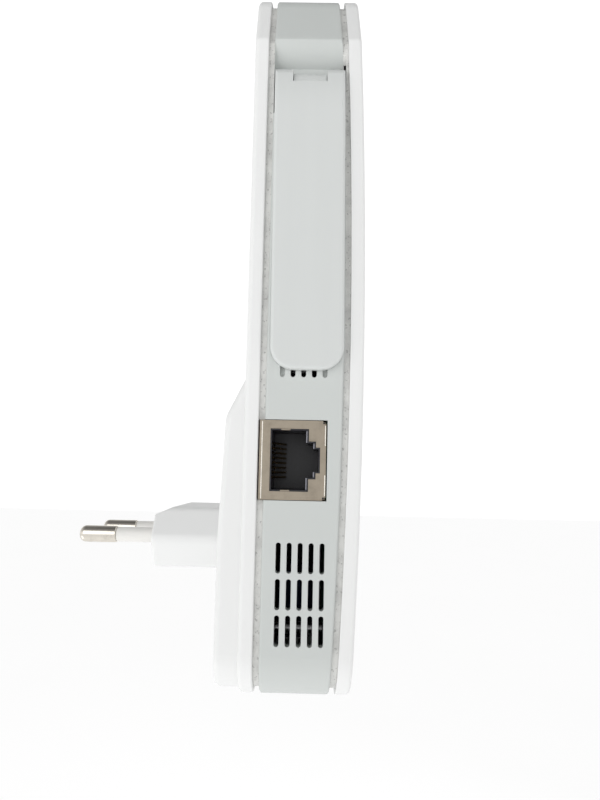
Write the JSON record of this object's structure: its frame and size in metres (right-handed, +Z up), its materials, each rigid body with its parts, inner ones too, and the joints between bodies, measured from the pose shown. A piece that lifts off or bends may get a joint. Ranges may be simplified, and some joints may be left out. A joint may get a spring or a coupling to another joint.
{
  "type": "wifi range extender",
  "caption": "Slim upright plug-in wifi range extender with flip-out side antennas, a side network socket, vent slots and a flat mains plug behind.",
  "frame": {"origin": "middle of the plug's flat engagement face, from which the two pins stand", "axes": "+Z up, +Y the way the pins point, -Y towards the front cover"},
  "size_m": [0.082, 0.0662, 0.1528],
  "materials": {
    "grey_band": "fine satin moulded plastic",
    "grey_paddle": "fine satin moulded plastic",
    "white_shell": "fine matt moulded plastic",
    "white_sleeve": "satin moulded plastic",
    "screw_steel": "plated",
    "plated_pin": "nickel plated, polished",
    "spring_bronze": "bright strip",
    "tinned_sheet": "tinned pressed sheet",
    "black_plastic": "moulded",
    "gold_wire": "gold plated",
    "circuit_board": "solder mask",
    "power_board": "paper laminate",
    "bare_aluminium": "extruded",
    "clear_plastic": "translucent",
    "ferrite": "sintered",
    "yellow_tape": "polyester tape",
    "capacitor_sleeve": "shrink sleeve",
    "chip_epoxy": "moulded epoxy",
    "pad_rubber": "soft pad",
    "lead_jacket": "smooth jacket"
  },
  "bodies": {
    "housing": {"middle_frame": "grey_band", "rear_cover": "white_shell", "front_cover": "white_shell", "cover_screws": "screw_steel", "plug_boss": "white_shell", "plug_pins": "plated_pin", "pin_sleeves": "white_sleeve", "pin_contacts": "spring_bronze", "jack_shield": "tinned_sheet", "jack_insert": "black_plastic", "jack_contacts": "gold_wire", "tactile_switches": "black_plastic", "main_board": "circuit_board", "heat_sink": "bare_aluminium", "radio_shields": "tinned_sheet", "lead_sockets": "gold_wire", "indicator_lamps": "clear_plastic", "light_guide": "clear_plastic", "power_board": "power_board", "transformer_core": "ferrite", "transformer_winding": "yellow_tape", "mains_capacitors": "capacitor_sleeve", "output_capacitors": "capacitor_sleeve", "filter_choke": "ferrite", "mains_fuse": "black_plastic", "processor": "chip_epoxy", "thermal_pad": "pad_rubber", "memory_chip": "chip_epoxy", "network_transformer": "chip_epoxy", "bridge_rectifier": "chip_epoxy", "power_controller": "chip_epoxy", "board_link": "black_plastic", "insulation_sheet": "clear_plastic", "left_hinge_lug": "grey_band", "left_hinge_pin": "screw_steel", "left_feed_lead": "lead_jacket", "right_hinge_lug": "grey_band", "right_hinge_pin": "screw_steel", "right_feed_lead": "lead_jacket"},
    "left_antenna": {"left_antenna_cover": "grey_paddle", "left_antenna_back": "grey_paddle", "left_antenna_element": "circuit_board", "left_antenna_tail": "lead_jacket"},
    "right_antenna": {"right_antenna_cover": "grey_paddle", "right_antenna_back": "grey_paddle", "right_antenna_element": "circuit_board", "right_antenna_tail": "lead_jacket"},
    "pair_button_body": {"pair_button": "grey_band", "pair_plunger": "black_plastic"},
    "reset_button_body": {"reset_plunger": "black_plastic"}
  },
  "joints": [
    {"name": "left_antenna_hinge", "type": "hinge", "parent": "housing", "child": "left_antenna", "pos_m": [-0.037, -0.03495, 0.0989], "axis": [0, 1, 0], "range_deg": [0, 120]},
    {"name": "right_antenna_hinge", "type": "hinge", "parent": "housing", "child": "right_antenna", "pos_m": [0.037, -0.03495, 0.0989], "axis": [0, -1, 0], "range_deg": [0, 120]},
    {"name": "pair_button_press", "type": "slide", "parent": "housing", "child": "pair_button_body", "axis": [-1, 0, 0], "range_m": [0, 0.0006], "stiffness_N_per_m": 400, "springref_m": -0.0005},
    {"name": "reset_button_press", "type": "slide", "parent": "housing", "child": "reset_button_body", "axis": [-1, 0, 0], "range_m": [0, 0.0003], "stiffness_N_per_m": 400, "springref_m": -0.0004}
  ]
}
